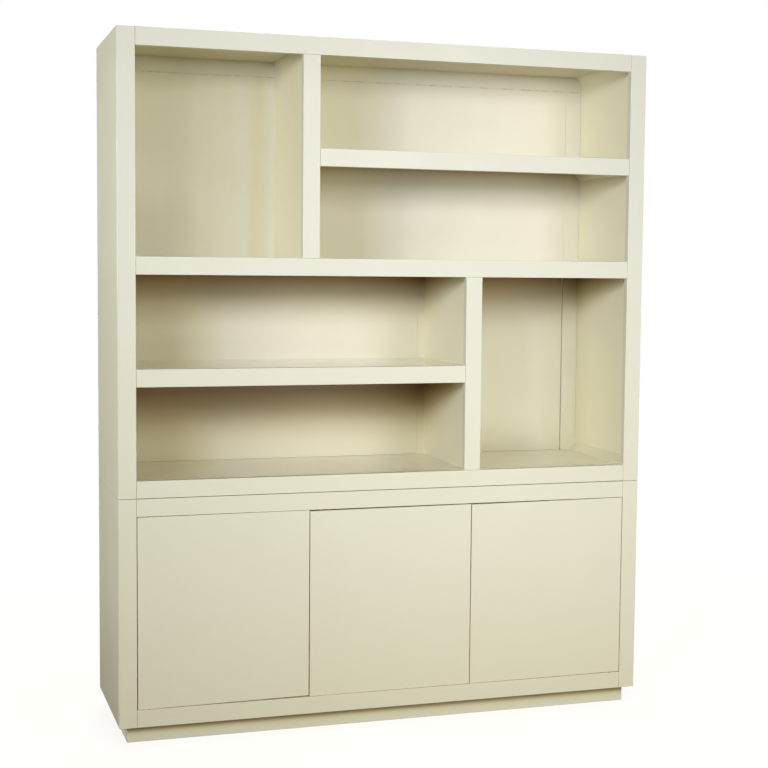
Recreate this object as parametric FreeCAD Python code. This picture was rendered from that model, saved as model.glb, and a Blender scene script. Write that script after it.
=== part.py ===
import FreeCAD, Part
import os

# A painted wooden bookcase in two units. An open shelf unit with a face frame and a framed back stands on
# a base cabinet with three flush doors and a recessed plinth.
# Millimetres. Origin on the floor under the middle, +X to the right, +Y to the back, +Z up.

# Overall sizes
WIDTH = 1600.0
DEPTH = 450.0
PLINTH_HEIGHT = 50.0
BASE_HEIGHT = 650.0
SHELF_CLEAR = 262.5          # clear height of one row between shelf edges
BOARD = 18.0                 # thickness of sides, shelves, dividers and partitions

# Face frame
FRAME_FACE = 50.0            # width of every frame member seen from the front
FRAME_DEPTH = 20.0
EASE = 0.8                   # rounding of painted edges
RAIL_LINE = 0.6              # open line where a rail butts on a stile
SHELF_LINE = 0.8             # open line at the ends of the two short shelf edges
POST_LINE = 0.35             # open line at the ends of a post
LINE_DEPTH = 3.0
JOINT_GAP = 1.4              # the upper rail clears the base by this at the joint of the units
STILE_GAP = 0.8              # the upper stiles clear the base by this
SIDE_LIFT = 1.6              # the upper sides lift off the base by this at their rear edge
SIDE_SEAT = 230.0            # length of an upper side that sits on the base, from the frame back

# Framed back of the upper unit
BACK_RECESS = 10.0           # from the rear edges of the sides
BACK_THICKNESS = 18.0
BACK_STILE = 54.0
BACK_RAIL = 47.0
BACK_MUNTIN = 64.0
BACK_FIT = 0.8               # open line between the back and each side
SEAM = 0.5                   # open seam round each panel
CLOSED_SEAM = 0.2            # seam at the right of the upper left panel
WIDE_SEAM = 4.0              # shrunk seam at the right of the lower right panel
GROOVE = 8.0                 # depth of the groove that a panel's tongue sits in
TONGUE = 6.0                 # thickness of the tongue
TONGUE_CLEAR = 2.0           # room for the panel to move at the bottom of the groove
BLOCK_LEG = 24.0             # legs of the triangular corner blocks

# Base cabinet
BASE_BACK = 9.0              # thickness of the back sheet
PARTITION_SETBACK = 20.0     # behind the doors, clear of their turning edges
PLINTH_BOARD = 18.0
PLINTH_BEHIND_FRAME = 10.0
PLINTH_BEHIND_SIDE = 7.0
PLINTH_BEHIND_BACK = 5.0

# Doors and their pivots
DOOR_THICKNESS = 20.0
DOOR_GAP = 2.0               # the gap that the pivots and latches are set out from
PIVOT_INSET = 32.0           # from the hinge edge of the door to the pivot
PIVOT_BEHIND_FRONT = 9.0
PIN_RADIUS = 3.0
PIN_IN_DOOR = 16.0
PIN_IN_BUSH = 12.0
BUSH_RADIUS = 5.0
BUSH_END = 2.0               # closed end past the pin
FLANGE_RADIUS = 7.5
PIVOT_PLAY = 0.2             # between a flange and the door
FIT = 0.05                   # radial clearance of every pin, peg, dowel, bush and plunger

# Gaps round the doors, which hang a little out of square
LEFT_DOOR_TOP = (1.8, 0.8)   # at the left and the right end of the edge
LEFT_DOOR_BOTTOM = (0.9, 4.2)
MIDDLE_DOOR_TOP = (4.2, 2.6)
MIDDLE_DOOR_BOTTOM = (0.8, 1.1)
RIGHT_DOOR_TOP = (4.0, 1.3)
RIGHT_DOOR_BOTTOM = (0.7, 1.8)
LEFT_STILE_GAP = (2.0, 2.7)  # at the upper and the lower end of the gap
LEFT_SPLIT_GAP = (2.4, 3.4)
RIGHT_SPLIT_GAP = (3.0, 2.4)
RIGHT_STILE_GAP = (2.0, 2.2)

# Push latches
LATCH_WIDTH = 14.0
LATCH_HEIGHT = 16.0
LATCH_LENGTH = 60.0
LATCH_BELOW_TOP = 40.0       # from the door's top edge to the plunger
PLUNGER_RADIUS = 3.5
PLUNGER_OUT = 4.0
PLUNGER_IN = 30.0
PLUNGER_TRAVEL = 3.0
SPRING_ROOM = 10.0
STRIKE_RADIUS = 7.0
STRIKE_THICKNESS = 1.5
LATCH_CLEAR = 0.3

# Loose inner shelves, pegs and dowels
INNER_SHELF_SETBACK = 15.0   # behind the partitions' front edges
INNER_SHELF_CLEAR = 1.5      # at each end
PEG_RADIUS = 2.5
PEG_IN = 6.0
PEG_OUT = 8.0
PEG_INSET = 40.0             # from the shelf's front and rear edges
DOWEL_RADIUS = 4.0
DOWEL_IN = 20.0
DOWEL_INSET = 60.0           # from the front and rear edges of the sides

# Places worked out from the sizes
LEFT = -WIDTH / 2
RIGHT = WIDTH / 2
FRONT = -DEPTH / 2
REAR = DEPTH / 2
INNER_LEFT = LEFT + BOARD
INNER_RIGHT = RIGHT - BOARD
OPEN_LEFT = LEFT + FRAME_FACE
OPEN_RIGHT = RIGHT - FRAME_FACE
FRAME_REAR = FRONT + FRAME_DEPTH
DOOR_REAR = FRONT + DOOR_THICKNESS
PARTITION_FRONT = DOOR_REAR + PARTITION_SETBACK
BACK_REAR = REAR - BACK_RECESS
BACK_FACE = BACK_REAR - BACK_THICKNESS
BASE_BACK_FACE = BACK_REAR - BASE_BACK
DOOR_COUNT = 3
DOOR_BAY = (OPEN_RIGHT - OPEN_LEFT) / DOOR_COUNT
SPLIT_LEFT = OPEN_LEFT + DOOR_BAY
SPLIT_RIGHT = OPEN_RIGHT - DOOR_BAY
UNIT_JOINT = PLINTH_HEIGHT + BASE_HEIGHT
DOORWAY_BOTTOM = PLINTH_HEIGHT + FRAME_FACE
DOORWAY_TOP = UNIT_JOINT - FRAME_FACE
BASE_CEILING = UNIT_JOINT - BOARD
PIVOT_Y = FRONT + PIVOT_BEHIND_FRONT
FRAME_Y = (FRONT, FRAME_REAR)
SHELF_Y = (FRAME_REAR, BACK_FACE)
BACK_Y = (BACK_FACE, BACK_REAR)
FULL_Y = (FRAME_REAR, REAR)
X_AXIS = FreeCAD.Vector(1, 0, 0)
Y_AXIS = FreeCAD.Vector(0, 1, 0)
Z_AXIS = FreeCAD.Vector(0, 0, 1)
NEAR = 0.001


def shelf_bottom(row):
    """Height of the underside of a shelf edge: row 0 is the bottom rail, row 4 the top rail."""
    return UNIT_JOINT + row * (FRAME_FACE + SHELF_CLEAR)


def shelf_top(row):
    """Height of the top of a shelf edge."""
    return shelf_bottom(row) + FRAME_FACE


def shelf_board_z(row):
    """A shelf board lies flush with the top of its edge."""
    return (shelf_top(row) - BOARD, shelf_top(row))


HEIGHT = shelf_top(4)


def board(x, y, z):
    """A box between the low and high limits given for each axis."""
    corner = FreeCAD.Vector(x[0], y[0], z[0])
    return Part.makeBox(x[1] - x[0], y[1] - y[0], z[1] - z[0], corner)


def rod(radius, length, start, axis):
    """A cylinder from a start point along an axis."""
    return Part.makeCylinder(radius, length, FreeCAD.Vector(*start), axis)


def centred(middle, size):
    """Low and high limits of a size centred on a place."""
    return (middle - size / 2, middle + size / 2)


def widened(limits, extra):
    """Limits pushed apart by the same amount at both ends."""
    return (limits[0] - extra, limits[1] + extra)


def ease(shape, chosen):
    """Round the edges whose middle point the chosen function accepts."""
    edges = [edge for edge in shape.Edges if chosen(edge.CenterOfMass)]
    return shape.makeFillet(EASE, edges)


def frame_member(x, z, side_line=0.0, end_line=0.0):
    """A face frame member with rounded front edges; its sides or ends show an open line where butted."""
    lip = board(widened(x, -side_line), (FRONT, FRONT + LINE_DEPTH), widened(z, -end_line))
    body = board(x, (FRONT + LINE_DEPTH, FRAME_REAR), z)
    return ease(lip.fuse(body).removeSplitter(), lambda point: point.y < FRONT + NEAR)


def side_board(side, z):
    """An outer side behind its stile, with its outer edges rounded except along the stile."""
    x = (LEFT, INNER_LEFT) if side < 0 else (INNER_RIGHT, RIGHT)
    outer = side * WIDTH / 2
    def outside(point):
        return abs(point.x - outer) < NEAR and point.y > FRAME_REAR + NEAR
    return ease(board(x, FULL_Y, z), outside)


def side_relief(side):
    """The thin wedge by which the rear of an upper side clears the base."""
    x = LEFT if side < 0 else INNER_RIGHT
    seat_end = FreeCAD.Vector(x, FRAME_REAR + SIDE_SEAT, UNIT_JOINT)
    rear_low = FreeCAD.Vector(x, REAR, UNIT_JOINT)
    section = Part.Face(Part.makePolygon([seat_end, rear_low, rear_low + Z_AXIS * SIDE_LIFT, seat_end]))
    return section.extrude(X_AXIS * BOARD)


def drill(shape, holes):
    """Cut every hole from a piece."""
    return shape.cut(holes) if holes else shape


def save(name, *solids):
    """Write one named piece, or a group of like pieces, to its own file."""
    shape = solids[0] if len(solids) == 1 else Part.makeCompound(list(solids))
    shape.exportStep(f"parts/{name}.step")
    print(name, len(solids), "solid(s)", round(sum(solid.Volume for solid in solids)), "mm3")


os.makedirs("parts", exist_ok=True)

# Locating dowels between the two units, two in each side
dowels = []
dowel_holes = []
for x in (LEFT + BOARD / 2, RIGHT - BOARD / 2):
    for y in (FRAME_REAR + DOWEL_INSET, REAR - DOWEL_INSET):
        start = (x, y, UNIT_JOINT - DOWEL_IN)
        dowels.append(rod(DOWEL_RADIUS, 2 * DOWEL_IN, start, Z_AXIS))
        dowel_holes.append(rod(DOWEL_RADIUS + FIT, 2 * DOWEL_IN, start, Z_AXIS))
save("locating_dowels", *dowels)

# Carcass boards of the upper unit
upper_z = (UNIT_JOINT, HEIGHT)
save("upper_side_left", drill(side_board(-1, upper_z), dowel_holes + [side_relief(-1)]))
save("upper_side_right", drill(side_board(1, upper_z), dowel_holes + [side_relief(1)]))
save("upper_top_board", board((INNER_LEFT, INNER_RIGHT), FULL_Y, shelf_board_z(4)))
save("upper_bottom_board", board((INNER_LEFT, INNER_RIGHT), SHELF_Y, shelf_board_z(0)))
save("middle_shelf_board", board((INNER_LEFT, INNER_RIGHT), SHELF_Y, shelf_board_z(2)))
save("upper_right_shelf_board", board((SPLIT_LEFT + BOARD / 2, INNER_RIGHT), SHELF_Y, shelf_board_z(3)))
save("lower_left_shelf_board", board((INNER_LEFT, SPLIT_RIGHT - BOARD / 2), SHELF_Y, shelf_board_z(1)))
save("upper_divider_board", board(centred(SPLIT_LEFT, BOARD), SHELF_Y, (shelf_top(2), HEIGHT - BOARD)))
save("lower_divider_board", board(centred(SPLIT_RIGHT, BOARD), SHELF_Y, (shelf_top(0), shelf_top(2) - BOARD)))

# Face frame of the upper unit
upper_stile_z = (UNIT_JOINT + STILE_GAP, HEIGHT)
bottom_rail_z = (UNIT_JOINT + JOINT_GAP, shelf_top(0))
rail_x = (OPEN_LEFT, OPEN_RIGHT)
post_left = centred(SPLIT_LEFT, FRAME_FACE)
post_right = centred(SPLIT_RIGHT, FRAME_FACE)
right_shelf_x = (post_left[1], OPEN_RIGHT)
left_shelf_x = (OPEN_LEFT, post_right[0])
save("upper_stile_left", frame_member((LEFT, OPEN_LEFT), upper_stile_z))
save("upper_stile_right", frame_member((OPEN_RIGHT, RIGHT), upper_stile_z))
save("upper_top_rail", frame_member(rail_x, (shelf_bottom(4), HEIGHT), RAIL_LINE))
save("upper_bottom_rail", frame_member(rail_x, bottom_rail_z, RAIL_LINE))
save("middle_shelf_edge", frame_member(rail_x, (shelf_bottom(2), shelf_top(2)), RAIL_LINE))
save("upper_right_shelf_edge", frame_member(right_shelf_x, (shelf_bottom(3), shelf_top(3)), SHELF_LINE))
save("lower_left_shelf_edge", frame_member(left_shelf_x, (shelf_bottom(1), shelf_top(1)), SHELF_LINE))
save("upper_divider_post", frame_member(post_left, (shelf_top(2), shelf_bottom(4)), 0.0, POST_LINE))
save("lower_divider_post", frame_member(post_right, (shelf_top(0), shelf_bottom(2)), 0.0, POST_LINE))

# Framed back: members grooved on the edges that face a panel, panels held by their tongues
back_left = INNER_LEFT + BACK_STILE
back_right = INNER_RIGHT - BACK_STILE
back_top = HEIGHT - BOARD - BACK_RAIL
muntin_left = centred(SPLIT_LEFT, BACK_MUNTIN)
muntin_right = centred(SPLIT_RIGHT, BACK_MUNTIN)
upper_panel_z = (shelf_top(2), back_top)
lower_panel_z = (shelf_top(0), shelf_bottom(2))
panel_places = {
    "back_panel_upper_left": ((back_left, muntin_left[0]), upper_panel_z, CLOSED_SEAM),
    "back_panel_upper_right": ((muntin_left[1], back_right), upper_panel_z, SEAM),
    "back_panel_lower_left": ((back_left, muntin_right[0]), lower_panel_z, SEAM),
    "back_panel_lower_right": ((muntin_right[1], back_right), lower_panel_z, WIDE_SEAM),
}
tongue_y = centred((BACK_FACE + BACK_REAR) / 2, TONGUE)
grooves = [board(widened(x, GROOVE), tongue_y, widened(z, GROOVE)) for x, z, seam in panel_places.values()]


def back_member(x, z):
    """A member of the back frame with the grooves that reach it."""
    return board(x, BACK_Y, z).cut(grooves)


def back_panel(x, z, right_seam):
    """A panel flush with the frame, an open seam round it, and a tongue all round."""
    field = board((x[0] + SEAM, x[1] - right_seam), BACK_Y, widened(z, -SEAM))
    reach = GROOVE - TONGUE_CLEAR
    return field.fuse(board(widened(x, reach), tongue_y, widened(z, reach))).removeSplitter()


back_stile_z = (UNIT_JOINT, HEIGHT - BOARD)
back_rail_x = (back_left, back_right)
save(
    "back_stiles",
    back_member((INNER_LEFT + BACK_FIT, back_left), back_stile_z),
    back_member((back_right, INNER_RIGHT - BACK_FIT), back_stile_z),
)
save("back_top_rail", back_member(back_rail_x, (back_top, HEIGHT - BOARD)))
save("back_middle_rail", back_member(back_rail_x, (shelf_bottom(2), shelf_top(2))))
save("back_bottom_rail", back_member(back_rail_x, (UNIT_JOINT, shelf_top(0))))
save("back_muntins", back_member(muntin_left, upper_panel_z), back_member(muntin_right, lower_panel_z))
for name, (x, z, seam) in panel_places.items():
    save(name, back_panel(x, z, seam))

# Triangular corner blocks glued along the corners of the outer sides


def corner_block(side, z, up):
    """A 45 degree block from frame to back, in the corner of a side and a board at height z."""
    wall = side * (WIDTH / 2 - BOARD)
    corner = FreeCAD.Vector(wall, FRAME_REAR, z)
    along_board = corner - X_AXIS * side * BLOCK_LEG
    along_wall = corner + Z_AXIS * up * BLOCK_LEG
    section = Part.Face(Part.makePolygon([corner, along_board, along_wall, corner]))
    return section.extrude(Y_AXIS * (BACK_FACE - FRAME_REAR))


blocks = []
for side, shelf_row in ((-1, 1), (1, 3)):
    blocks.append(corner_block(side, HEIGHT - BOARD, -1))
    blocks.append(corner_block(side, shelf_top(shelf_row) - BOARD, -1))
    blocks.append(corner_block(side, shelf_top(0), 1))
save("corner_blocks", *blocks)

# Loose inner shelves on pegs, one in each bay of the base
bays = {
    "left": (INNER_LEFT, SPLIT_LEFT - BOARD / 2),
    "middle": (SPLIT_LEFT + BOARD / 2, SPLIT_RIGHT - BOARD / 2),
    "right": (SPLIT_RIGHT + BOARD / 2, INNER_RIGHT),
}
inner_shelf_y = (PARTITION_FRONT + INNER_SHELF_SETBACK, BASE_BACK_FACE - INNER_SHELF_CLEAR)
inner_shelf_z = centred((DOORWAY_BOTTOM + BASE_CEILING) / 2, BOARD)
pegs = []
peg_holes = []
for name, bay in bays.items():
    save(f"inner_shelf_{name}", board(widened(bay, -INNER_SHELF_CLEAR), inner_shelf_y, inner_shelf_z))
    for wall, inward in ((bay[0], 1), (bay[1], -1)):
        for y in widened(inner_shelf_y, -PEG_INSET):
            start = (wall - inward * PEG_IN, y, inner_shelf_z[0] - PEG_RADIUS)
            pegs.append(rod(PEG_RADIUS, PEG_IN + PEG_OUT, start, X_AXIS * inward))
            peg_holes.append(rod(PEG_RADIUS + FIT, PEG_IN + PEG_OUT, start, X_AXIS * inward))
save("shelf_pegs", *pegs)

# Carcass boards of the base
base_z = (PLINTH_HEIGHT, UNIT_JOINT)
base_floor_z = (DOORWAY_BOTTOM - BOARD, DOORWAY_BOTTOM)
partition_z = (DOORWAY_BOTTOM, BASE_CEILING)
partition_y = (PARTITION_FRONT, BASE_BACK_FACE)
save("base_side_left", drill(side_board(-1, base_z), dowel_holes + peg_holes))
save("base_side_right", drill(side_board(1, base_z), dowel_holes + peg_holes))
save("base_top_board", board((INNER_LEFT, INNER_RIGHT), FULL_Y, (BASE_CEILING, UNIT_JOINT)))
save("base_bottom_board", board((INNER_LEFT, INNER_RIGHT), (FRAME_REAR, BASE_BACK_FACE), base_floor_z))
save("base_partition_left", drill(board(centred(SPLIT_LEFT, BOARD), partition_y, partition_z), peg_holes))
save("base_partition_right", drill(board(centred(SPLIT_RIGHT, BOARD), partition_y, partition_z), peg_holes))
base_back_z = (PLINTH_HEIGHT, BASE_CEILING)
save("base_back_sheet", board((INNER_LEFT, INNER_RIGHT), (BASE_BACK_FACE, BACK_REAR), base_back_z))

# Recessed plinth under the base, standing on the floor
plinth_z = (0, base_floor_z[0])
plinth_x = (INNER_LEFT + PLINTH_BEHIND_SIDE, INNER_RIGHT - PLINTH_BEHIND_SIDE)
plinth_front = FRAME_REAR + PLINTH_BEHIND_FRAME
plinth_rear = BASE_BACK_FACE - PLINTH_BEHIND_BACK
plinth_end_y = (plinth_front + PLINTH_BOARD, plinth_rear - PLINTH_BOARD)
front_board = board(plinth_x, (plinth_front, plinth_front + PLINTH_BOARD), plinth_z)
save("plinth_front", ease(front_board, lambda point: point.y < plinth_front + NEAR))
save(
    "plinth_ends_and_back",
    board((plinth_x[0], plinth_x[0] + PLINTH_BOARD), plinth_end_y, plinth_z),
    board((plinth_x[1] - PLINTH_BOARD, plinth_x[1]), plinth_end_y, plinth_z),
    board(plinth_x, (plinth_rear - PLINTH_BOARD, plinth_rear), plinth_z),
)

# Pivot pins and flanged bushes; up is 1 at the top of a door and -1 at its foot, gap is the door's gap there


def pivot_pin(x, rail_face, up, gap, extra=0.0):
    """A pin through the gap between a rail and a door; extra widens it for a hole."""
    start = (x, PIVOT_Y, rail_face - up * (gap + PIN_IN_DOOR))
    return rod(PIN_RADIUS + extra, PIN_IN_DOOR + gap + PIN_IN_BUSH, start, Z_AXIS * up)


def bush_seat(x, rail_face, up, extra=0.0):
    """The round body of a bush set into a rail; extra widens it for the hole in the rail."""
    return rod(BUSH_RADIUS + extra, PIN_IN_BUSH + BUSH_END, (x, PIVOT_Y, rail_face), Z_AXIS * up)


def bush(x, rail_face, up, gap):
    """A flanged bush: the flange fills the gap to the door but for a little play."""
    flange = rod(FLANGE_RADIUS, gap - PIVOT_PLAY, (x, PIVOT_Y, rail_face), Z_AXIS * -up)
    body = bush_seat(x, rail_face, up).fuse(flange).removeSplitter()
    return body.cut(pivot_pin(x, rail_face, up, gap, FIT))


def between(ends, share):
    """The value at a share of the way from the first end to the second."""
    return ends[0] + share * (ends[1] - ends[0])


def half(ends):
    """Half of a gap that two doors share."""
    return (ends[0] / 2, ends[1] / 2)


# Doors with their pins, strike plates, latches and plungers; hinge is -1 for a door hung on its left edge and
# 1 on its right
plunger_z = DOORWAY_TOP - DOOR_GAP - LATCH_BELOW_TOP
strike_face = DOOR_REAR + STRIKE_THICKNESS
plunger_tip = strike_face + LATCH_CLEAR
latch_front = plunger_tip + PLUNGER_OUT
pivot_from_stile = DOOR_GAP + PIVOT_INSET
pivot_from_split = DOOR_GAP / 2 + PIVOT_INSET
doors = {  # bay, hinge, pivot, wall that carries the latch
    "left": ((OPEN_LEFT, SPLIT_LEFT), -1, OPEN_LEFT + pivot_from_stile, SPLIT_LEFT - BOARD / 2),
    "middle": ((SPLIT_LEFT, SPLIT_RIGHT), -1, SPLIT_LEFT + pivot_from_split, SPLIT_RIGHT - BOARD / 2),
    "right": ((SPLIT_RIGHT, OPEN_RIGHT), 1, OPEN_RIGHT - pivot_from_stile, SPLIT_RIGHT + BOARD / 2),
}
door_gaps = {  # at the left, right, top and bottom edges
    "left": (LEFT_STILE_GAP, half(LEFT_SPLIT_GAP), LEFT_DOOR_TOP, LEFT_DOOR_BOTTOM),
    "middle": (half(LEFT_SPLIT_GAP), half(RIGHT_SPLIT_GAP), MIDDLE_DOOR_TOP, MIDDLE_DOOR_BOTTOM),
    "right": (half(RIGHT_SPLIT_GAP), RIGHT_STILE_GAP, RIGHT_DOOR_TOP, RIGHT_DOOR_BOTTOM),
}


def door_slab(bay, left, right, top, bottom):
    """A slab whose four corners lie inside the doorway by the gaps at each end of its edges."""
    corners = [
        FreeCAD.Vector(bay[0] + left[1], FRONT, DOORWAY_BOTTOM + bottom[0]),
        FreeCAD.Vector(bay[1] - right[1], FRONT, DOORWAY_BOTTOM + bottom[1]),
        FreeCAD.Vector(bay[1] - right[0], FRONT, DOORWAY_TOP - top[1]),
        FreeCAD.Vector(bay[0] + left[0], FRONT, DOORWAY_TOP - top[0]),
    ]
    slab = Part.Face(Part.makePolygon(corners + corners[:1])).extrude(Y_AXIS * DOOR_THICKNESS)
    return slab.makeFillet(EASE, slab.Edges)


bushes = []
bush_holes = []
housings = []
for name, (bay, hinge, pivot_x, latch_wall) in doors.items():
    left, right, top, bottom = door_gaps[name]
    along = (pivot_x - bay[0]) / DOOR_BAY
    pivots = [
        (pivot_x, DOORWAY_BOTTOM, -1, between(bottom, along)),
        (pivot_x, DOORWAY_TOP, 1, between(top, along)),
    ]
    pin_holes = [pivot_pin(*pivot, FIT) for pivot in pivots]
    save(f"door_{name}", door_slab(bay, left, right, top, bottom).cut(pin_holes))
    save(f"door_{name}_pivot_pins", *[pivot_pin(*pivot) for pivot in pivots])
    bushes += [bush(*pivot) for pivot in pivots]
    bush_holes += [bush_seat(x, rail_face, up, FIT) for x, rail_face, up, gap in pivots]

    latch_x = latch_wall + hinge * LATCH_WIDTH / 2
    strike = rod(STRIKE_RADIUS, STRIKE_THICKNESS, (latch_x, DOOR_REAR, plunger_z), Y_AXIS)
    plunger = rod(PLUNGER_RADIUS, PLUNGER_OUT + PLUNGER_IN, (latch_x, plunger_tip, plunger_z), Y_AXIS)
    save(f"door_{name}_strike_plate", strike)
    save(f"latch_plunger_{name}", plunger)
    body = board(
        centred(latch_x, LATCH_WIDTH),
        (latch_front, latch_front + LATCH_LENGTH),
        centred(plunger_z, LATCH_HEIGHT),
    )
    bore_length = PLUNGER_IN + PLUNGER_TRAVEL + SPRING_ROOM
    bore = rod(PLUNGER_RADIUS + FIT, bore_length, (latch_x, latch_front, plunger_z), Y_AXIS)
    housings.append(body.cut(bore))
save("pivot_bushes", *bushes)
save("latch_housings", *housings)

# Face frame of the base, with seats for the bushes in its rails
save("base_stile_left", frame_member((LEFT, OPEN_LEFT), base_z))
save("base_stile_right", frame_member((OPEN_RIGHT, RIGHT), base_z))
base_top_rail = frame_member(rail_x, (DOORWAY_TOP, UNIT_JOINT), RAIL_LINE)
base_bottom_rail = frame_member(rail_x, (PLINTH_HEIGHT, DOORWAY_BOTTOM), RAIL_LINE)
save("base_top_rail", drill(base_top_rail, bush_holes))
save("base_bottom_rail", drill(base_bottom_rail, bush_holes))
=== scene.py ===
import math

import bmesh
import bpy
import numpy as np
from mathutils import Matrix, Vector


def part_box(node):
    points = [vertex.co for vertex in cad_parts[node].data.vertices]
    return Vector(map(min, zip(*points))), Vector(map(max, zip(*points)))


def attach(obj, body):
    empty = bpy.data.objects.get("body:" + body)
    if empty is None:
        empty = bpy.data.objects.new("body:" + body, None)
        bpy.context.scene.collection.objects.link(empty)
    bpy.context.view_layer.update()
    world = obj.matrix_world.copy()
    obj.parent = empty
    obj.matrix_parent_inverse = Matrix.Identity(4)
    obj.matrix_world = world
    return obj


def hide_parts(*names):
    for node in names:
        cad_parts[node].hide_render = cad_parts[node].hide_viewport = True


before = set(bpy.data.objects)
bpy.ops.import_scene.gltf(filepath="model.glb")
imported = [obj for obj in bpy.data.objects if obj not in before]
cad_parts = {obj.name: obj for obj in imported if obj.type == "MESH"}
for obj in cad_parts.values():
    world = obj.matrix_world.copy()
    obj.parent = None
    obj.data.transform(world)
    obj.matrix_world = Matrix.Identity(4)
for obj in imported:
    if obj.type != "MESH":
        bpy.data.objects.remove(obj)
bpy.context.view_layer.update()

# Plinth: four boards set back under the base cabinet, so that it seems to float above the floor.
# Softwood boards, filled, primed and rolled with the same ivory paint as the rest. The base's floor board
# rests on them.


def linear(colour):
    """An sRGB hex colour as linear red, green, blue and full alpha."""
    channels = [int(colour[i:i + 2], 16) / 255 for i in (1, 3, 5)]
    return (*[c / 12.92 if c <= 0.04045 else ((c + 0.055) / 1.055) ** 2.4 for c in channels], 1.0)


def add(tree, kind, inputs=None, **settings):
    """Add one shader node: settings are its properties, and each input gets a value or a link."""
    node = tree.nodes.new("ShaderNode" + kind)
    for name, value in settings.items():
        setattr(node, name, value)
    for name, value in (inputs or {}).items():
        if isinstance(value, bpy.types.NodeSocket):
            tree.links.new(value, node.inputs[name])
        else:
            node.inputs[name].default_value = value
    return node


def new_material(name):
    """A material with an empty tree."""
    material = bpy.data.materials.new(name)
    material.use_nodes = True
    material.node_tree.nodes.clear()
    return material, material.node_tree


def finish(material, *names):
    """Give carried-over pieces this finish all over."""
    for name in names:
        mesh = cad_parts[name].data
        mesh.materials.clear()
        mesh.materials.append(material)


MM = 0.001  # metres
back_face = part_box("middle_shelf_board")[1][1]  # the back's inner face lies on the boards' rear edges
skin = 2 * MM  # how far past a face its own paint still counts
dust_and_foot_shade = "#5E533A"


def only_where(tree, share, *limits):
    """The share where every limit holds, and 0 elsewhere. A limit is a coordinate, a comparison, a value."""
    for along, comparison, value in limits:
        holds = add(tree, "Math", {0: along, 1: value}, operation=comparison).outputs[0]
        share = add(tree, "Math", {0: share, 1: holds}, operation="MULTIPLY").outputs[0]
    return share


def close_to(tree, height, level, none_mm, full_mm, most=1.0):
    """A share that is most within full_mm above or below a level, and 0 beyond none_mm."""
    off = add(tree, "Math", {0: height, 1: level}, operation="SUBTRACT").outputs[0]
    off = add(tree, "Math", {0: off}, operation="ABSOLUTE").outputs[0]
    fade = {"Value": off, "From Min": none_mm * MM, "From Max": full_mm * MM, "To Max": most}
    return add(tree, "MapRange", fade).outputs[0]


def painted_shade_behind_uprights(tree, colour, where, painted_shade_and_dust):
    """Painted shade and painted light in the open shelves, where each upright shades the space to its right
    from
    the lamps on the left: a tint, darker and greyer beside the left side in the top space, paler and yellower
    beside the upper divider, and yellower elsewhere. The tint is full up to full_m to the right of an upright
    and gone at none_m, from the floor of the upright's space to its roof. A pale floor throws light up, so
    there only the share at_floor of the tint is left, and from bounce_m up all of it."""
    full_m, none_m, bounce_m, most = 0.2, 0.4, 0.35, 0.6
    across, deep, height = where
    for upright, floor, roof, tint, at_floor in (
        ("upper_side_left", "middle_shelf_board", "upper_top_board", "#D0CBA4", 0.4),
        ("upper_side_left", "upper_bottom_board", "middle_shelf_board", "#F1E8B9", 1.0),
        ("upper_divider_board", "middle_shelf_board", "upper_top_board", "#FFF9D0", 1.0),
        ("lower_divider_board", "upper_bottom_board", "middle_shelf_board", "#EDE6C6", 1.0),
    ):
        right, foot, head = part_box(upright)[1][0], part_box(floor)[0][2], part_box(roof)[1][2]
        share = add(tree, "MapRange", {
            "Value": across, "From Min": right + none_m, "From Max": right + full_m,
            "To Max": most * painted_shade_and_dust,
        }, interpolation_type="SMOOTHSTEP").outputs[0]
        bounce = add(tree, "MapRange", {
            "Value": height, "From Min": foot, "From Max": foot + bounce_m, "To Min": at_floor,
        }).outputs[0]
        share = add(tree, "Math", {0: share, 1: bounce}, operation="MULTIPLY").outputs[0]
        share = only_where(
            tree, share, (across, "GREATER_THAN", right + MM), (deep, "LESS_THAN", back_face + skin),
            (height, "GREATER_THAN", foot), (height, "LESS_THAN", head),
        )
        # Painted shade, or painted light where the tint is paler than the coat
        colour = add(tree, "Mix", {0: share, 6: colour, 7: linear(tint)}, data_type="RGBA").outputs[2]
    return colour


def dusty_seam(tree, colour, where, spot):
    """The open seam under the back's top rail, which has caught dust wherever a noise rises above none."""
    tuft_mm, none, full, most = 20, 0.4, 0.6, 0.3
    deep, height = where["Y"], where["Z"]
    seam = close_to(tree, height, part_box("back_top_rail")[0][2], none_mm=1.8, full_mm=0.8)
    caught = add(tree, "TexNoise", {"Vector": spot, "Scale": 1 / (tuft_mm * MM)}).outputs["Fac"]
    caught = add(tree, "MapRange", {
        "Value": caught, "From Min": none, "From Max": full, "To Max": most,
    }).outputs[0]
    share = add(tree, "Math", {0: seam, 1: caught}, operation="MULTIPLY").outputs[0]
    share = only_where(
        tree, share, (deep, "GREATER_THAN", back_face - skin), (deep, "LESS_THAN", back_face + skin),
    )
    return add(tree, "Mix", {0: share, 6: colour, 7: linear(dust_and_foot_shade)}, data_type="RGBA").outputs[2]


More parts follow.
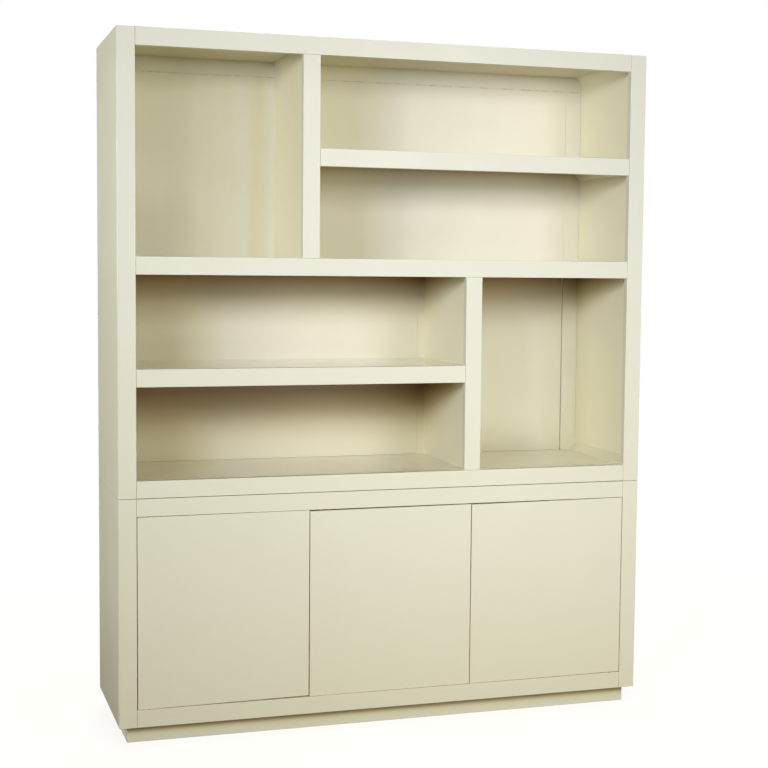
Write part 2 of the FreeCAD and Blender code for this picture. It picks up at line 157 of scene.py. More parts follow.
def painted_shadow_under_boards(tree, colour, where, painted_shade_and_dust):
    """Painted shadow close under the boards, the one over the plinth among them, in a brown shadow colour.
    Its share is e to the power of (rise / back + full) / fade, at most 1: rise is the height over the board's
    underside, and back grows from at_front to 1 over the reach behind the board's front, so that the painted
    shadow hangs lower towards the back, as the shadow of the board's front edge does. Where two boards shade
    one place, the larger share counts. The paint is multiplied by the shadow colour to the power of the
    share."""
    shadow_brown, at_front, beside = "#92784E", 0.03, 5 * MM
    across, deep, height = where
    share = 0.0
    for board, reach_mm, full_mm, fade_mm, most in (
        ("upper_top_board", 400, 0, 8, 0.2), ("upper_right_shelf_board", 400, 0, 20, 0.66),
        ("middle_shelf_board", 400, 36, 42, 1.0), ("lower_left_shelf_board", 400, 82, 64, 1.0),
        ("base_bottom_board", 10, 41, 8, 1.0),
    ):
        left, front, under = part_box(board)[0]
        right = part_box(board)[1][0]
        back = add(tree, "MapRange", {
            "Value": deep, "From Min": front, "From Max": front + reach_mm * MM, "To Min": at_front,
        }).outputs[0]
        shadow_share = add(tree, "Math", {0: height, 1: under}, operation="SUBTRACT").outputs[0]
        shadow_share = add(tree, "Math", {0: shadow_share, 1: back}, operation="DIVIDE").outputs[0]
        shadow_share = add(tree, "Math", {0: shadow_share, 1: full_mm * MM}, operation="ADD").outputs[0]
        shadow_share = add(tree, "Math", {0: shadow_share, 1: fade_mm * MM}, operation="DIVIDE").outputs[0]
        shadow_share = add(tree, "Math", {0: shadow_share}, operation="EXPONENT").outputs[0]
        shadow_share = add(tree, "MapRange", {"Value": shadow_share, "To Max": most * painted_shade_and_dust}).outputs[0]
        shadow_share = only_where(
            tree, shadow_share, (across, "GREATER_THAN", left - beside), (across, "LESS_THAN", right + beside),
            (deep, "LESS_THAN", back_face + skin), (height, "LESS_THAN", under + skin),
        )
        share = add(tree, "Math", {0: shadow_share, 1: share}, operation="MAXIMUM").outputs[0]
    # Painted shadow: the paint is darkened towards a brown shadow colour
    tint = add(tree, "Gamma", {"Color": linear(shadow_brown), "Gamma": share}).outputs[0]
    both = {0: 1.0, 6: colour, 7: tint}
    return add(tree, "Mix", both, data_type="RGBA", blend_type="MULTIPLY").outputs[2]


def ivory_paint(
    name, coat="#E4E4D5", thin="#DEDCCB", yellowed=0.0, painted_shade_and_dust=0.0, foot_shade=0.0, grain=0.0, wax=0.0,
    smoothest=0.4, roughest=0.5,
):
    """Satin ivory alkyd paint, rolled on. To the eye it is a smooth, faintly cloudy coat with a fine stipple
    and a few soft specks, thinner and warmer on rounded edges, yellower towards the floor, and dusty in the
    joint between the two units. yellowed is the least yellow at any height, painted_shade_and_dust is how
    strong the painted shade and shadow in the open shelves are, and also turns on the dust in the back's
    seam, and foot_shade is painted shade that darkens the paint towards the floor. grain is how far broad
    upright bands of the wood show through on the inside, wax is a clear polish that fills the stipple, and
    the roughness lies between smoothest and roughest."""
    speck, yellow = "#B3A888", "#E7E1B6"
    # A roller's stipple is finer than 6 mm, and is drawn as coarse as it needs to be to show
    stipple_mm, cloud_mm, speck_mm, speck_gap_mm, band_mm, band_length_mm = 6, 140, 4, 170, 60, 1500
    stipple_share, cloud_share, edge_share, speck_share, joint_share = 0.35, 0.65, 0.6, 0.2, 0.35
    yellow_from_m, yellow_at_floor, foot_shade_from_m = 1.4, 0.55, 0.4
    stipple_strength, stipple_height_mm = 0.06, 0.1
    material, tree = new_material(name)
    place = add(tree, "TexCoord")
    spot = place.outputs["Object"]
    where = add(tree, "SeparateXYZ", {"Vector": spot}).outputs
    deep, height = where["Y"], where["Z"]
    stipple = add(tree, "TexNoise", {
        "Vector": spot, "Scale": 1 / (stipple_mm * MM), "Detail": 2.0,
    }).outputs["Fac"]
    cloud = add(tree, "TexNoise", {
        "Vector": spot, "Scale": 1 / (cloud_mm * MM), "Detail": 3.0,
    }).outputs["Fac"]
    shade = add(tree, "Math", {0: stipple, 1: stipple_share}, operation="MULTIPLY").outputs[0]
    shade = add(tree, "Math", {0: cloud, 1: cloud_share, 2: shade}, operation="MULTIPLY_ADD").outputs[0]
    if grain:
        noise_middle = 0.5
        stretch = [1 / (band_mm * MM), 1 / (band_mm * MM), 1 / (band_length_mm * MM)]
        run = add(tree, "Mapping", {"Vector": spot, "Scale": stretch}).outputs[0]
        bands = add(tree, "TexNoise", {"Vector": run, "Scale": 1.0, "Detail": 4.0}).outputs["Fac"]
        bands = add(tree, "Math", {0: bands, 1: noise_middle}, operation="SUBTRACT").outputs[0]
        bands = only_where(tree, bands, (deep, "LESS_THAN", back_face + skin))
        shade = add(tree, "Math", {0: bands, 1: grain, 2: shade}, operation="MULTIPLY_ADD").outputs[0]
    colour = add(tree, "Mix", {0: shade, 6: linear(coat), 7: linear(thin)}, data_type="RGBA").outputs[2]
    # A flat face has its normal along one axis. Where no part of the normal is near 1 there is a rounded
    # edge, or the slope of a corner block
    flat, rounded = 0.97, 0.75
    largest = 0.0
    for part in add(tree, "SeparateXYZ", {"Vector": place.outputs["Normal"]}).outputs:
        part = add(tree, "Math", {0: part}, operation="ABSOLUTE").outputs[0]
        largest = add(tree, "Math", {0: part, 1: largest}, operation="MAXIMUM").outputs[0]
    edge = add(tree, "MapRange", {
        "Value": largest, "From Min": flat, "From Max": rounded, "To Max": edge_share,
    }).outputs[0]
    colour = add(tree, "Mix", {0: edge, 6: colour, 7: linear(thin)}, data_type="RGBA").outputs[2]
    cells = add(tree, "TexVoronoi", {"Vector": spot, "Scale": 1 / (speck_gap_mm * MM)}).outputs["Distance"]
    near = add(tree, "MapRange", {
        "Value": cells, "From Min": speck_mm / speck_gap_mm, "From Max": 0, "To Max": speck_share,
    }).outputs[0]
    colour = add(tree, "Mix", {0: near, 6: colour, 7: linear(speck)}, data_type="RGBA").outputs[2]
    low = add(tree, "MapRange", {
        "Value": height, "From Min": yellow_from_m, "From Max": 0.0,
        "To Min": yellowed, "To Max": max(yellowed, yellow_at_floor),
    }).outputs[0]
    colour = add(tree, "Mix", {0: low, 6: colour, 7: linear(yellow)}, data_type="RGBA").outputs[2]
    joint_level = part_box("upper_side_left")[0][2]
    joint = close_to(tree, height, joint_level, none_mm=0.6, full_mm=0.4, most=joint_share)
    colour = add(tree, "Mix", {0: joint, 6: colour, 7: linear(dust_and_foot_shade)}, data_type="RGBA").outputs[2]
    # Painted shade: the paint darkens towards the floor, in the dust colour
    if foot_shade:
        foot_darkening = add(tree, "MapRange", {
            "Value": height, "From Min": foot_shade_from_m, "From Max": 0.0, "To Max": foot_shade,
        }).outputs[0]
        colour = add(tree, "Mix", {0: foot_darkening, 6: colour, 7: linear(dust_and_foot_shade)}, data_type="RGBA").outputs[2]
    # Painted shade and shadow in the open shelves, and dust in the back's seam
    if painted_shade_and_dust:
        colour = painted_shade_behind_uprights(tree, colour, where, painted_shade_and_dust)
        colour = dusty_seam(tree, colour, where, spot)
        colour = painted_shadow_under_boards(tree, colour, where, painted_shade_and_dust)
    gloss = add(tree, "MapRange", {"Value": cloud, "To Min": smoothest, "To Max": roughest}).outputs[0]
    relief = add(tree, "Bump", {
        "Height": stipple, "Strength": stipple_strength * (1 - wax), "Distance": stipple_height_mm * MM,
    }).outputs[0]
    coated = add(tree, "BsdfPrincipled", {
        "Base Color": colour, "Roughness": gloss, "Normal": relief, "IOR": 1.48,
        "Coat Weight": wax, "Coat Roughness": 0.15,
    })
    add(tree, "OutputMaterial", {"Surface": coated.outputs[0]})
    return material


# The plinth's paint carries a brown painted shadow under the base's overhang
plinth_paint = ivory_paint("satin_ivory_alkyd_painted_shadow", painted_shade_and_dust=0.8)
finish(plinth_paint, "plinth_front", "plinth_ends_and_back")

# Base carcass: two sides, floor, top and two partitions, butted and glued together.
# All are 18 mm boards, painted inside and out. The sides are yellower, darker towards the foot with painted
# shade, and carry painted shadow close under the boards.
paint = ivory_paint("satin_ivory_alkyd_rolled")
finish(paint, "base_bottom_board", "base_top_board", "base_partition_left", "base_partition_right")
side_paint = ivory_paint(
    "satin_ivory_alkyd_yellowed", "#EEEEDF", "#E8E6D4", yellowed=0.5, painted_shade_and_dust=0.5, foot_shade=0.36,
    smoothest=0.6, roughest=0.7,
)
finish(side_paint, "base_side_left", "base_side_right")

# Base back: one sheet of birch plywood let in between the sides, left bare at the rear.
# It is screwed to the floor board and the partitions with pan head screws.


def rotary_birch(name):
    """Rotary cut birch plywood, sanded and left bare. To the eye it is pale straw with broad flame bands
    along the sheet, short darker flecks, and a dull face."""
    pale, dark, fleck = "#D9BE93", "#C4A273", "#A98458"
    band_mm, band_length_mm, fleck_mm, fleck_length_mm = 38, 420, 1.2, 14
    material, tree = new_material(name)
    place = add(tree, "TexCoord").outputs["Object"]
    stretch = [1 / (band_length_mm * MM), 1 / (band_mm * MM), 1 / (band_mm * MM)]
    run = add(tree, "Mapping", {"Vector": place, "Scale": stretch}).outputs[0]
    flame = add(tree, "TexNoise", {
        "Vector": run, "Scale": 1.0, "Detail": 5.0, "Distortion": 0.6,
    }).outputs["Fac"]
    flame = add(tree, "MapRange", {"Value": flame, "From Min": 0.35, "From Max": 0.68}).outputs[0]
    colour = add(tree, "Mix", {0: flame, 6: linear(pale), 7: linear(dark)}, data_type="RGBA").outputs[2]
    stretch = [1 / (fleck_length_mm * MM), 1 / (fleck_mm * MM), 1 / (fleck_mm * MM)]
    run = add(tree, "Mapping", {"Vector": place, "Scale": stretch}).outputs[0]
    flecks = add(tree, "TexNoise", {"Vector": run, "Scale": 1.0, "Detail": 2.0}).outputs["Fac"]
    few = add(tree, "MapRange", {
        "Value": flecks, "From Min": 0.6, "From Max": 0.75, "To Max": 0.55,
    }).outputs[0]
    colour = add(tree, "Mix", {0: few, 6: colour, 7: linear(fleck)}, data_type="RGBA").outputs[2]
    relief = add(tree, "Bump", {"Height": flecks, "Strength": 0.3, "Distance": 0.1 * MM}).outputs[0]
    wood = add(tree, "BsdfPrincipled", {"Base Color": colour, "Roughness": 0.72, "Normal": relief})
    add(tree, "OutputMaterial", {"Surface": wood.outputs[0]})
    return material


finish(rotary_birch("bare_rotary_cut_birch_plywood"), "base_back_sheet")


def cross_recess(turn):
    """Radius of a cross shaped recess against its arms: four arms, 0.3 + 0.7 |cos 2t| to the sixth."""
    return 0.3 + 0.7 * np.abs(np.cos(2 * turn)) ** 6


def closed_rings(name, points):
    """A mesh from an array of pieces by rings by points: each ring joins the next all the way round, and
    points that coincide are welded, which closes the poles."""
    weld_mm, crease_deg = 0.001, 35
    count, rings, around = points.shape[:3]
    number = np.arange(count * rings * around).reshape(count, rings, around)
    after = np.roll(number, -1, axis=2)
    quads = np.stack([number[:, :-1], after[:, :-1], after[:, 1:], number[:, 1:]], axis=-1)
    mesh = bpy.data.meshes.new(name)
    mesh.from_pydata(points.reshape(-1, 3).tolist(), [], quads.reshape(-1, 4).tolist())
    work = bmesh.new()
    work.from_mesh(mesh)
    bmesh.ops.remove_doubles(work, verts=work.verts, dist=weld_mm * MM)
    work.to_mesh(mesh)
    work.free()
    mesh.polygons.foreach_set("use_smooth", np.ones(len(mesh.polygons), bool))
    mesh.set_sharp_from_angle(angle=math.radians(crease_deg))
    return mesh


def turned(name, profile, starts, axes, shape=None, around=32):
    """Pieces turned on a lathe, one from each start along X, Y or Z: every (distance, radius, share) of the
    profile, in millimetres, goes once round the axis, and share is how much of the radius follows shape. The
    profile begins and ends on the axis."""
    distance, radius, share = np.array(profile, float).T[:, :, None]
    turn = np.arange(around) * 2 * math.pi / around
    ring = radius * (1.0 if shape is None else 1 - share + share * shape(turn))
    axes = np.array(axes, float)[:, None, None]
    side = np.roll(axes, 1, axis=-1)
    other = np.cross(axes, side)
    offset = distance[..., None] * axes + (ring * np.cos(turn))[..., None] * side
    offset = offset + (ring * np.sin(turn))[..., None] * other
    points = np.array(starts, float)[:, None, None] + MM * offset
    return closed_rings(name, points)


def piece(mesh, material, body, slot, *replaced):
    """Put a finished mesh into the scene on its body, and hide the nodes that it stands for. slot is not
    used.
    """
    mesh.materials.append(material)
    made = bpy.data.objects.new(mesh.name, mesh)
    bpy.context.scene.collection.objects.link(made)
    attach(made, body)
    if replaced:
        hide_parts(*replaced)


def zinc_steel(name):
    """Zinc plated steel, tumbled before plating. To the eye it is a bright grey metal with a faint warm bloom
    and soft highlights."""
    bright, bloom = "#B9BBBE", "#A59F8F"
    bloom_mm = 4
    material, tree = new_material(name)
    place = add(tree, "TexCoord").outputs["Object"]
    patch = add(tree, "TexNoise", {
        "Vector": place, "Scale": 1 / (bloom_mm * MM), "Detail": 3.0,
    }).outputs["Fac"]
    colour = add(tree, "Mix", {0: patch, 6: linear(bright), 7: linear(bloom)}, data_type="RGBA").outputs[2]
    gloss = add(tree, "MapRange", {"Value": patch, "To Min": 0.25, "To Max": 0.42}).outputs[0]
    metal = add(tree, "BsdfPrincipled", {"Base Color": colour, "Roughness": gloss, "Metallic": 1.0})
    add(tree, "OutputMaterial", {"Surface": metal.outputs[0]})
    return material


steel = zinc_steel("zinc_plated_steel")
pan_head = [  # from the tip of the shank to the cross recess
    (-16, 0, 0), (-13, 1.3, 0), (0, 1.6, 0), (0, 3.5, 0), (0.8, 3.5, 0), (1.4, 3.1, 0), (1.75, 2.3, 0),
    (1.8, 2.1, 1), (1.0, 1.7, 1), (0.9, 0, 0),
]
sheet_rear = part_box("base_back_sheet")[1][1]
end_inset, foot_inset = 62 * MM, 70 * MM
floor_count, partition_count = 9, 4
low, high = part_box("base_bottom_board")
along = np.linspace(low[0] + end_inset, high[0] - end_inset, floor_count)
sheet_screws = [(x, sheet_rear, (low[2] + high[2]) / 2) for x in along]
for partition in ("base_partition_left", "base_partition_right"):
    low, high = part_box(partition)
    up = np.linspace(low[2] + foot_inset, high[2] - end_inset, partition_count)
    sheet_screws += [((low[0] + high[0]) / 2, sheet_rear, z) for z in up]
screws = turned("base_back_screws", pan_head, sheet_screws, [(0, 1, 0)] * len(sheet_screws), cross_recess)
piece(screws, steel, "carcass", "steel")

# Base face frame: two stiles and two rails, butted and glued to the front of the carcass.
# Painted hardwood, with a fine open line at each butt joint.
finish(paint, "base_stile_left", "base_stile_right", "base_top_rail", "base_bottom_rail")

# Inner shelves: one loose painted board in each bay of the base.
# Each lies on four turned steel pegs, pushed into holes in the walls up to a thin collar.
finish(paint, "inner_shelf_left", "inner_shelf_middle", "inner_shelf_right")
peg_mm, collar_mm, hole_mm, length_mm = 2.5, 3.9, 6, 14  # two radii, depth in the wall, length
collared_peg = [  # from the end in the wall, past the collar, to the end under the shelf
    (0, 0, 0), (0, peg_mm - 0.5, 0), (0.5, peg_mm, 0), (hole_mm, peg_mm, 0), (hole_mm, collar_mm - 0.3, 0),
    (hole_mm + 0.3, collar_mm, 0), (hole_mm + 0.9, collar_mm, 0), (hole_mm + 1.2, collar_mm - 0.3, 0),
    (hole_mm + 1.2, peg_mm, 0), (length_mm - 0.7, peg_mm, 0), (length_mm, peg_mm - 0.7, 0),
    (length_mm, 0, 0),
]
peg_inset = 40 * MM
shelf_low, shelf_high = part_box("inner_shelf_left")
bay_walls = ("base_side_left", "base_partition_left", "base_partition_right", "base_side_right")
peg_places, peg_axes = [], []
for left_wall, right_wall in zip(bay_walls, bay_walls[1:]):
    for wall, inward in ((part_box(left_wall)[1][0], 1), (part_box(right_wall)[0][0], -1)):
        for y in (shelf_low[1] + peg_inset, shelf_high[1] - peg_inset):
            peg_places.append((wall - inward * hole_mm * MM, y, shelf_low[2] - peg_mm * MM))
            peg_axes.append((inward, 0, 0))
pegs = turned("collared_shelf_pegs", collared_peg, peg_places, peg_axes)
piece(pegs, steel, "carcass", "steel", "shelf_pegs")

# Push latches: a moulded housing with two screws on a wall of each bay, and a sprung plunger in its bore.
# Grey ABS outside and white acetal for the plunger, whose domed tip holds a magnet.


def moulded_plastic(name, face, worn):
    """Moulded plastic from a spark eroded mould. To the eye it is one even colour with a fine matt grain, and
    slightly different where it has been handled."""
    # The mould's grain is finer, and is drawn at 0.6 mm so that it shows close up
    grain_mm, handled_mm = 0.6, 25
    material, tree = new_material(name)
    place = add(tree, "TexCoord").outputs["Object"]
    grain = add(tree, "TexNoise", {
        "Vector": place, "Scale": 1 / (grain_mm * MM), "Detail": 2.0,
    }).outputs["Fac"]
    patch = add(tree, "TexNoise", {
        "Vector": place, "Scale": 1 / (handled_mm * MM), "Detail": 2.0,
    }).outputs["Fac"]
    colour = add(tree, "Mix", {0: patch, 6: linear(face), 7: linear(worn)}, data_type="RGBA").outputs[2]
    gloss = add(tree, "MapRange", {"Value": patch, "To Min": 0.42, "To Max": 0.58}).outputs[0]
    relief = add(tree, "Bump", {"Height": grain, "Strength": 0.3, "Distance": 0.05 * MM}).outputs[0]
    plastic = add(tree, "BsdfPrincipled", {
        "Base Color": colour, "Roughness": gloss, "Normal": relief, "IOR": 1.53,
    })
    add(tree, "OutputMaterial", {"Surface": plastic.outputs[0]})
    return material


doors = ("left", "middle", "right")
latch_low, latch_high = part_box("latch_housings")
half_width, half_height, length, bore, bore_depth = 7.0, 8.0, 60, 3.55, 43  # millimetres
squared, ellipse = 6, 2  # squareness of the outside and of the bore
outside = [  # distance from the front and depth under the outer face, with rounded ends and two grooves
    (length, 0.8), (length - 0.2, 0.25), (length - 0.8, 0), (46.5, 0), (46, 0.6), (44, 0.6), (43.5, 0),
    (16.5, 0), (16, 0.6), (14, 0.6), (13.5, 0), (0.8, 0), (0.2, 0.25), (0, 0.8),
]
inside = [(0, 4.4), (0.6, bore), (bore_depth, bore), (bore_depth, 0)]  # distance from the front and radius
latch_rings = [(length, 0, 0, squared)]
latch_rings += [(along, half_width - under, half_height - under, squared) for along, under in outside]
latch_rings += [(along, radius, radius, ellipse) for along, radius in inside]


def rounded_box_rings(name, rings, starts, around=48):
    """Rings of (distance, half width, half height, squareness) carried along Y from each start: x and z are
    the half sizes times the cosine and sine of the turn, each to the power 2 / squareness, so 2 gives an
    ellipse and more gives a rounded rectangle."""
    distance, wide, tall, squareness = np.array(rings, float).T[:, :, None]
    turn = (np.arange(around) + 0.5) * 2 * math.pi / around
    x = wide * np.sign(np.cos(turn)) * np.abs(np.cos(turn)) ** (2 / squareness)
    z = tall * np.sign(np.sin(turn)) * np.abs(np.sin(turn)) ** (2 / squareness)
    offset = np.stack(np.broadcast_arrays(x, distance, z), axis=-1)
    return closed_rings(name, np.array(starts, float)[:, None, None] + MM * offset)


plunger_boxes = {door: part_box(f"latch_plunger_{door}") for door in doors}
latch_x = {door: (low[0] + high[0]) / 2 for door, (low, high) in plunger_boxes.items()}
latch_z = (latch_low[2] + latch_high[2]) / 2
housings = [(latch_x[door], latch_low[1], latch_z) for door in doors]
abs_grey = moulded_plastic("moulded_grey_abs", "#8E908E", "#9A9B98")
bodies = rounded_box_rings("latch_bodies", latch_rings, housings)
piece(bodies, abs_grey, "carcass", "latch_plastic", "latch_housings")

into_bay = {"left": -1, "middle": -1, "right": 1}  # which way the open bay lies from each housing
latch_screw = [  # from the tip of the shank to the cross recess
    (-12, 0, 0), (-10, 1.0, 0), (0, 1.3, 0), (0, 2.9, 0), (0.7, 2.9, 0), (1.2, 2.5, 0), (1.4, 1.9, 0),
    (1.4, 1.8, 1), (0.8, 1.5, 1), (0.7, 0, 0),
]
latch_screws_mm = (22, 38)  # distances of the two screws from the housing's front
latch_screw_places, latch_screw_axes = [], []
for door in doors:
    face = latch_x[door] + into_bay[door] * half_width * MM
    for along_mm in latch_screws_mm:
        latch_screw_places.append((face, latch_low[1] + along_mm * MM, latch_z))
        latch_screw_axes.append((into_bay[door], 0, 0))
screws = turned("latch_screws", latch_screw, latch_screw_places, latch_screw_axes, cross_recess)
piece(screws, steel, "carcass", "steel")

acetal = moulded_plastic("moulded_white_acetal", "#E4E3DE", "#DBD9D0")
domed_plunger = [  # from the magnet in the tip to the end inside the bore
    (0.4, 0, 0), (0.4, 2.0, 0), (0, 2.1, 0), (0.05, 2.7, 0), (0.4, 3.2, 0), (1.0, 3.5, 0), (2.2, 3.5, 0),
    (2.4, 3.3, 0), (3.0, 3.3, 0), (3.2, 3.5, 0), (33.5, 3.5, 0), (34, 3.0, 0), (34, 0, 0),
]
for door in doors:
    tip = (latch_x[door], plunger_boxes[door][0][1], latch_z)
    mesh = turned(f"latch_plunger_{door}_domed", domed_plunger, [tip], [(0, 1, 0)])
    piece(mesh, acetal, f"{door}_plunger", "plunger_plastic", f"latch_plunger_{door}")

# Doors: three flush slabs without handles, painted on both faces, each hung on a steel pin at the top and
# the bottom of its hinge edge. The pins turn in flanged brass bushes pressed into the rails, and a
# countersunk steel disc on the rear is what the latch holds.


def aged_brass(name):
    """Turned brass left to tarnish. To the eye it is a dull dark brown gold, brighter where it rubs."""
    tarnish, rubbed = "#5C4A2C", "#8A7038"
    patch_mm = 3
    material, tree = new_material(name)
    place = add(tree, "TexCoord").outputs["Object"]
    patch = add(tree, "TexNoise", {
        "Vector": place, "Scale": 1 / (patch_mm * MM), "Detail": 4.0,
    }).outputs["Fac"]
    colour = add(tree, "Mix", {0: patch, 6: linear(tarnish), 7: linear(rubbed)}, data_type="RGBA").outputs[2]
    gloss = add(tree, "MapRange", {"Value": patch, "To Min": 0.55, "To Max": 0.35}).outputs[0]
    metal = add(tree, "BsdfPrincipled", {"Base Color": colour, "Roughness": gloss, "Metallic": 1.0})
    add(tree, "OutputMaterial", {"Surface": metal.outputs[0]})
    return material


finish(aged_brass("tarnished_turned_brass"), "pivot_bushes")
strike_disc = [  # from the door's rear face out to the rim, the countersink and the screw in it
    (0, 0, 0), (0, 7.0, 0), (1.1, 7.0, 0), (1.4, 6.8, 0), (1.5, 6.4, 0), (1.5, 4.2, 0), (1.25, 3.9, 0),
    (1.25, 3.7, 0), (1.35, 3.5, 0), (1.35, 1.9, 0), (1.35, 1.8, 1), (0.7, 1.5, 1), (0.6, 0, 0),
]
for door in doors:
    finish(paint, f"door_{door}")
    finish(steel, f"door_{door}_pivot_pins")
    low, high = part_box(f"door_{door}_strike_plate")
    seat = ((low[0] + high[0]) / 2, low[1], (low[2] + high[2]) / 2)
    mesh = turned(f"door_{door}_strike_disc", strike_disc, [seat], [(0, 1, 0)], cross_recess, around=48)
    piece(mesh, steel, f"{door}_door", "steel", f"door_{door}_strike_plate")

# Locating dowels: two in each side, glued into the base and loose in the upper unit.
# Beech, turned and fluted so that glue and air can escape.


def fluted(turn):
    """Radius of a rod with twelve shallow flutes: 1 less up to a tenth, by the fourth power of a cosine."""
    return 1 - 0.1 * np.cos(6 * turn) ** 4


def beech(name):
    """Straight grained steamed beech, turned and left bare. To the eye it is pinkish tan with fine flecks."""
    pale, fleck = "#CFA981", "#A87B54"
    fleck_mm, fleck_length_mm = 0.5, 4
    material, tree = new_material(name)
    place = add(tree, "TexCoord").outputs["Object"]
    stretch = [1 / (fleck_mm * MM), 1 / (fleck_mm * MM), 1 / (fleck_length_mm * MM)]
    run = add(tree, "Mapping", {"Vector": place, "Scale": stretch}).outputs[0]
    flecks = add(tree, "TexNoise", {"Vector": run, "Scale": 1.0, "Detail": 2.0}).outputs["Fac"]
    few = add(tree, "MapRange", {"Value": flecks, "From Min": 0.5, "From Max": 0.7}).outputs[0]
    colour = add(tree, "Mix", {0: few, 6: linear(pale), 7: linear(fleck)}, data_type="RGBA").outputs[2]
    wood = add(tree, "BsdfPrincipled", {"Base Color": colour, "Roughness": 0.68})
    add(tree, "OutputMaterial", {"Surface": wood.outputs[0]})
    return material


dowel_mm, end_mm, bevel_mm, length_mm = 4.0, 3.0, 1.2, 40  # two radii, length of the bevel, whole length
fluted_dowel = [
    (0, 0, 0), (0, end_mm, 0), (bevel_mm, dowel_mm, 1), (length_mm - bevel_mm, dowel_mm, 1),
    (length_mm, end_mm, 0), (length_mm, 0, 0),
]
dowels_low, dowels_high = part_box("locating_dowels")
dowel_places = [
    (x, y, dowels_low[2])
    for x in (dowels_low[0] + dowel_mm * MM, dowels_high[0] - dowel_mm * MM)
    for y in (dowels_low[1] + dowel_mm * MM, dowels_high[1] - dowel_mm * MM)
]
upwards = [(0, 0, 1)] * len(dowel_places)
dowels = turned("fluted_locating_dowels", fluted_dowel, dowel_places, upwards, fluted, around=72)
piece(dowels, beech("steamed_beech"), "carcass", "beech", "locating_dowels")

# Upper carcass: sides, top, bottom, three shelves and two dividers, butted and glued together.
# All are 18 mm boards, painted inside and out. The paint inside is paler than on the fronts and paler still
# on the walls, painted light that brightens the open shelves, and the boards that things stand on are waxed.
# Inside, painted shade darkens and tints the paint under the boards and beside the uprights.
# A paler coat for the inside, as painted light
painted_light_coat = {"coat": "#F0EFE0", "thin": "#EAE7D6"}
inside_paint = ivory_paint("satin_ivory_alkyd_painted_shade", **painted_light_coat, painted_shade_and_dust=1.0)
wall_paint = ivory_paint(
    "satin_ivory_alkyd_yellowed_inside", "#FAF8E6", "#F5F2DE", yellowed=0.25, painted_shade_and_dust=0.9,
)
waxed_paint = ivory_paint(
    "satin_ivory_alkyd_waxed", **painted_light_coat, painted_shade_and_dust=1.0, wax=0.8, smoothest=0.18, roughest=0.22,
)
finish(side_paint, "upper_side_left")
finish(wall_paint, "upper_side_right", "upper_divider_board", "lower_divider_board")
finish(inside_paint, "upper_top_board")
finish(waxed_paint, "upper_bottom_board", "middle_shelf_board")
finish(waxed_paint, "upper_right_shelf_board", "lower_left_shelf_board")

# Upper face frame: stiles, rails, shelf edges and the two posts, butted and glued to the carcass.
# Painted hardwood, with the joints left as fine open lines.
finish(paint, "upper_stile_left", "upper_stile_right", "upper_divider_post", "lower_divider_post")
finish(paint, "upper_top_rail", "upper_bottom_rail", "middle_shelf_edge")
finish(paint, "upper_right_shelf_edge", "lower_left_shelf_edge")

# Framed back: grooved stiles, rails and muntins round four loose panels, painted in place.
# Its pan head screws are in line with the middle shelf, the bottom board and the dividers.
finish(inside_paint, "back_stiles", "back_muntins", "back_top_rail", "back_middle_rail", "back_bottom_rail")
open_grain = ivory_paint(
    "satin_ivory_alkyd_over_open_grain", "#F5F4E6", "#ECE8D2", yellowed=0.12, painted_shade_and_dust=1.0, grain=1.8,
)
finish(open_grain, "back_panel_upper_left")
panel_paint = ivory_paint(
    "satin_ivory_alkyd_over_fine_grain", **painted_light_coat, yellowed=0.05, painted_shade_and_dust=1.0, grain=0.4,
)
finish(panel_paint, "back_panel_upper_right", "back_panel_lower_left", "back_panel_lower_right")
back_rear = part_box("back_middle_rail")[1][1]
shelf_inset, divider_inset = 122 * MM, 110 * MM
shelf_count, divider_count = 7, 3
back_screws = []
for shelf in ("middle_shelf_board", "upper_bottom_board"):
    low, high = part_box(shelf)
    along = np.linspace(low[0] + shelf_inset, high[0] - shelf_inset, shelf_count)
    back_screws += [(x, back_rear, (low[2] + high[2]) / 2) for x in along]
for divider in ("upper_divider_board", "lower_divider_board"):
    low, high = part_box(divider)
    up = np.linspace(low[2] + divider_inset, high[2] - divider_inset, divider_count)
    back_screws += [((low[0] + high[0]) / 2, back_rear, z) for z in up]
screws = turned("upper_back_screws", pan_head, back_screws, [(0, 1, 0)] * len(back_screws), cross_recess)
piece(screws, steel, "carcass", "steel")

# Corner blocks: three cornered softwood strips glued along the corners of the sides and boards.
# Painted in place with the carcass.
finish(wall_paint, "corner_blocks")

# Floor and surround: a wide pale studio floor that fades to white, under a white sky.
# What the camera sees of them is near white, and they throw little light on the bookcase.


def seen_directly(tree):
    """1 for what the camera sees, itself or in gloss and glass, and 0 for light on to the bookcase."""
    path = add(tree, "LightPath").outputs
    seen = path["Is Camera Ray"]
    for ray in ("Is Glossy Ray", "Is Transmission Ray"):
        seen = add(tree, "Math", {0: seen, 1: path[ray]}, operation="MAXIMUM").outputs[0]
    return seen


white = linear("#FFFFFF")
floor_half_m = 40.0
floor_mesh = bpy.data.meshes.new("floor")
corner = np.array([(-1, -1, 0), (1, -1, 0), (1, 1, 0), (-1, 1, 0)], float) * floor_half_m
floor_mesh.from_pydata(corner.tolist(), [], [(0, 1, 2, 3)])
floor = bpy.data.objects.new("floor", floor_mesh)
bpy.context.scene.collection.objects.link(floor)
matt_grey = "#7E7763"
near_glow, near_m, far_m = 0.88, 1.6, 4.5
floor_paint, tree = new_material("pale_studio_floor")
place = add(tree, "TexCoord").outputs["Object"]
reach = add(tree, "VectorMath", {0: place}, operation="LENGTH").outputs["Value"]
level = add(tree, "MapRange", {
    "Value": reach, "From Min": near_m, "From Max": far_m, "To Min": near_glow, "To Max": 1.0,
}, interpolation_type="SMOOTHSTEP").outputs[0]
matt = add(tree, "BsdfDiffuse", {"Color": linear(matt_grey)}).outputs[0]
glow = add(tree, "Emission", {"Color": white, "Strength": level}).outputs[0]
lit = add(tree, "AddShader", {0: matt, 1: glow}).outputs[0]
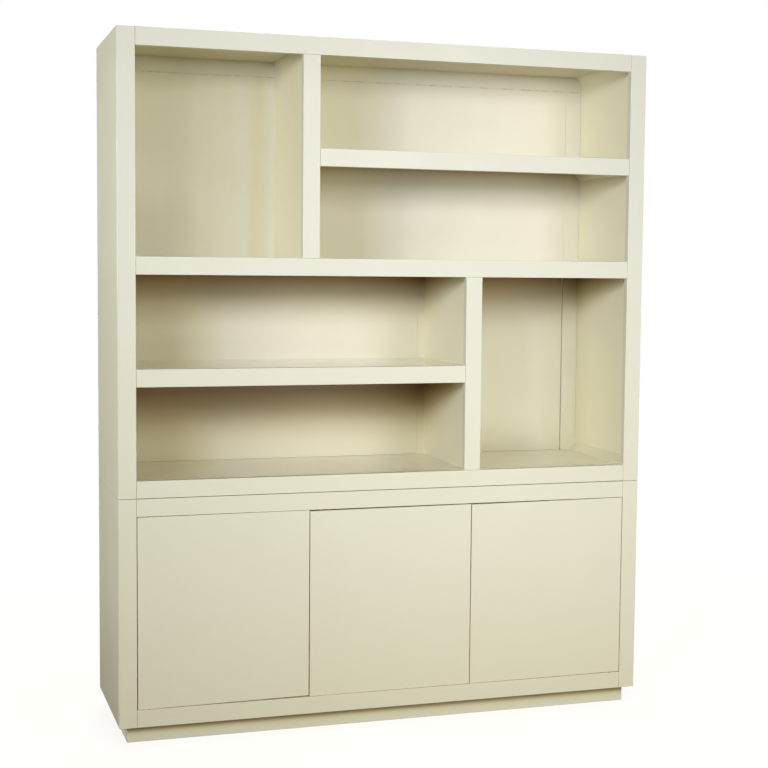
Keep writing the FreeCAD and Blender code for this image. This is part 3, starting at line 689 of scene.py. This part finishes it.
both = add(tree, "MixShader", {0: seen_directly(tree), 1: matt, 2: lit}).outputs[0]
add(tree, "OutputMaterial", {"Surface": both})
floor_mesh.materials.append(floor_paint)

world = bpy.data.worlds.new("white_surround")
bpy.context.scene.world = world
world.use_nodes = True
tree = world.node_tree
tree.nodes.clear()
sky = add(tree, "Background", {"Color": white, "Strength": seen_directly(tree)}).outputs[0]
add(tree, "OutputWorld", {"Surface": sky})

# Lamps: white softboxes round the bookcase.
# Two gridded ones to the left and three open ones to the right light the front. A gridded one hangs over the
# top, and open ones light the left end, the rear and the right end.
softboxes = {  # place and aim, width and height in metres, spread in degrees, watts
    "near_left_softbox": ((-2.4, -3.1, 2.0), (0.5, 0.0, 1.2), 1.0, 0.6, 80, 10.6),
    "far_left_softbox": ((-5.0, -4.4, 1.9), (0.5, 0.0, 1.2), 1.8, 1.4, 65, 15.5),
    "near_right_softbox": ((0.9, -2.5, 2.0), (0.2, 0.0, 1.4), 0.8, 0.6, 180, 12.5),
    "far_right_softbox": ((0.8, -3.65, 2.2), (0.2, 0.0, 1.4), 1.6, 0.9, 180, 28.0),
    "low_right_softbox": ((0.95, -2.3, 0.5), (0.0, 0.0, 0.5), 1.3, 0.6, 180, 13.8),
    "top_softbox": ((0.0, 0.02, 3.0), (0.0, 0.03, 2.0), 2.2, 0.5, 60, 4.2),
    "left_end_softbox": ((-2.6, -0.2, 1.5), (-0.8, 0.0, 1.2), 1.0, 1.0, 180, 7.4),
    "rear_softbox": ((-0.3, 3.6, 1.9), (0.0, 0.0, 1.2), 1.6, 1.2, 180, 80.0),
    "right_end_softbox": ((3.6, 1.2, 1.8), (0.0, 0.0, 1.2), 1.4, 1.4, 180, 35.0),
}
for name, (place, aim, width, height, spread, watts) in softboxes.items():
    lamp_data = bpy.data.lights.new(name, "AREA")
    lamp_data.shape = "RECTANGLE"
    lamp_data.size = width
    lamp_data.size_y = height
    lamp_data.spread = math.radians(spread)
    lamp_data.energy = watts
    lamp = bpy.data.objects.new(name, lamp_data)
    bpy.context.scene.collection.objects.link(lamp)
    facing = (Vector(place) - Vector(aim)).to_track_quat("Z", "Y").to_matrix().to_4x4()
    lamp.matrix_world = Matrix.Translation(place) @ facing
    lamp.visible_camera = False

# Camera at the photograph's place: in front, left of the bookcase and a little below eye level.
# Its place, turn and focal length were worked out from the bookcase's own corners in the photograph.
image_px = 768
sensor_mm = 36.0
focal_px = 1486.8
yaw, pitch, roll = math.radians(17.738), math.radians(4.252), math.radians(0.495)
camera_place = (-1.3473, -4.3464, 1.3338)
camera_data = bpy.data.cameras.new("photo_camera")
camera_data.sensor_width = sensor_mm
camera_data.lens = focal_px / image_px * sensor_mm
camera = bpy.data.objects.new("photo_camera", camera_data)
bpy.context.scene.collection.objects.link(camera)
upright = Matrix.Rotation(math.pi / 2 - pitch, 4, "X")
turn = Matrix.Rotation(-yaw, 4, "Z") @ upright @ Matrix.Rotation(roll, 4, "Z")
camera.matrix_world = Matrix.Translation(camera_place) @ turn
bpy.context.scene.camera = camera
bpy.context.scene.view_settings.view_transform = "Standard"
